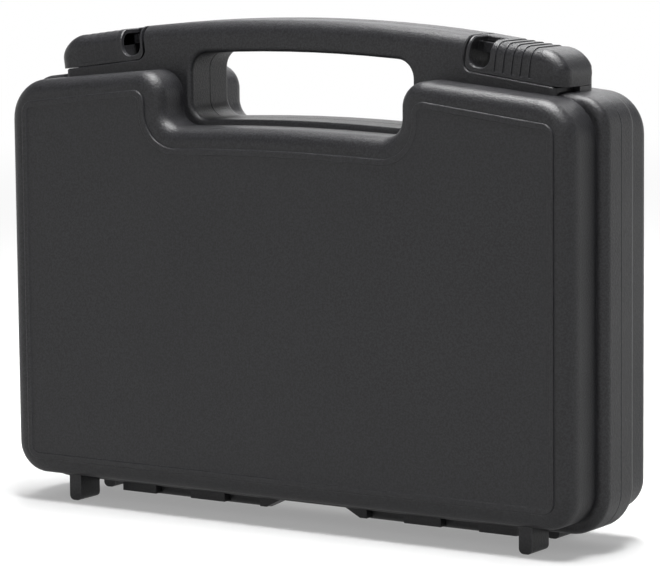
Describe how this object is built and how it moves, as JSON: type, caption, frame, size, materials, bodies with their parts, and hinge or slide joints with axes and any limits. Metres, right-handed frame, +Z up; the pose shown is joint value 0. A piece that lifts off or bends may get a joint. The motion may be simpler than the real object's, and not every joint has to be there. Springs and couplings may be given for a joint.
{
  "type": "hard tool case",
  "caption": "Slim black moulded carrying case that stands on its hinge side, with an arched handle, sliding latch caps and foam pads inside.",
  "frame": {"origin": "on the floor, below the middle of the case's parting plane", "axes": "+X to the right along the case's length as seen from the front, +Y from the front face to the back face, +Z up from the feet to the handle"},
  "size_m": [0.329, 0.075, 0.2403],
  "materials": {
    "shell": "fine matt texture, satin on the rounded edges",
    "cap": "fine matt texture, satin on the rounded edges",
    "pin": "plain drawn steel",
    "foam": "open-cell foam, matt"
  },
  "bodies": {
    "base": {"rear_shell": "shell", "base_foam": "foam", "hinge_pin_left": "pin", "hinge_pin_right": "pin"},
    "lid": {"front_shell": "shell", "lid_foam": "foam"},
    "latch_left": {"latch_cap_left": "cap"},
    "latch_right": {"latch_cap_right": "cap"}
  },
  "joints": [
    {"name": "lid_hinge", "type": "hinge", "parent": "base", "child": "lid", "pos_m": [0, 0, 0.0062], "axis": [1, 0, 0], "range_deg": [0, 155]},
    {"name": "latch_left_slide", "type": "slide", "parent": "lid", "child": "latch_left", "axis": [-0.9912, 0, -0.1323], "range_m": [0, 0.0115]},
    {"name": "latch_right_slide", "type": "slide", "parent": "lid", "child": "latch_right", "axis": [0.9912, 0, -0.1323], "range_m": [0, 0.0115]}
  ]
}
